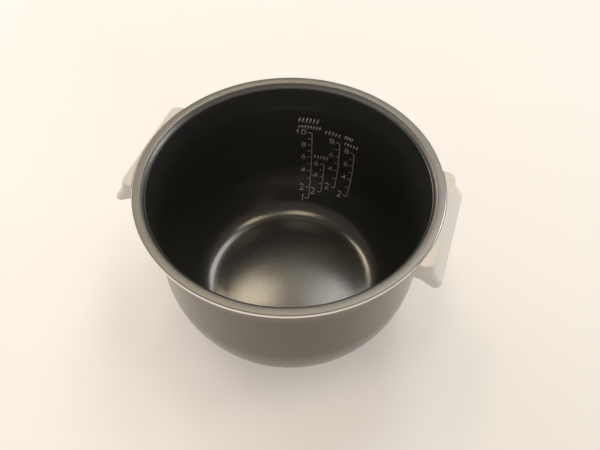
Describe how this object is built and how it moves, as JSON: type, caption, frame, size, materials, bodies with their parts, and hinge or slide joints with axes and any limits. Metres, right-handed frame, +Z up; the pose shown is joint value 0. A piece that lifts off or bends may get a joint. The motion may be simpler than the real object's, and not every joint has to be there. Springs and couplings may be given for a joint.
{
  "type": "rice cooker inner pot",
  "caption": "Removable inner cooking pot of a rice cooker: round non-stick aluminium pot with a rolled rim and moulded side grips.",
  "frame": {"origin": "centre of the base's underside", "axes": "+Z up along the pot's axis, +X through the middle of the right grip"},
  "size_m": [0.2632, 0.242, 0.15],
  "materials": {
    "pot_metal": "satin, hard-anodised outside, bare on the rim's cut edge",
    "nonstick_coating": "satin black non-stick coating with a fine metallic fleck",
    "grip_plastic": "moulded satin, cream",
    "bracket_steel": "pressed stainless sheet",
    "screw_steel": "stainless, pan head with a cross recess"
  },
  "bodies": {
    "root": {"inner_pot": "pot_metal", "nonstick_lining": "nonstick_coating", "right_grip": "grip_plastic", "left_grip": "grip_plastic", "right_bracket": "bracket_steel", "left_bracket": "bracket_steel", "grip_screws": "screw_steel"}
  },
  "joints": []
}
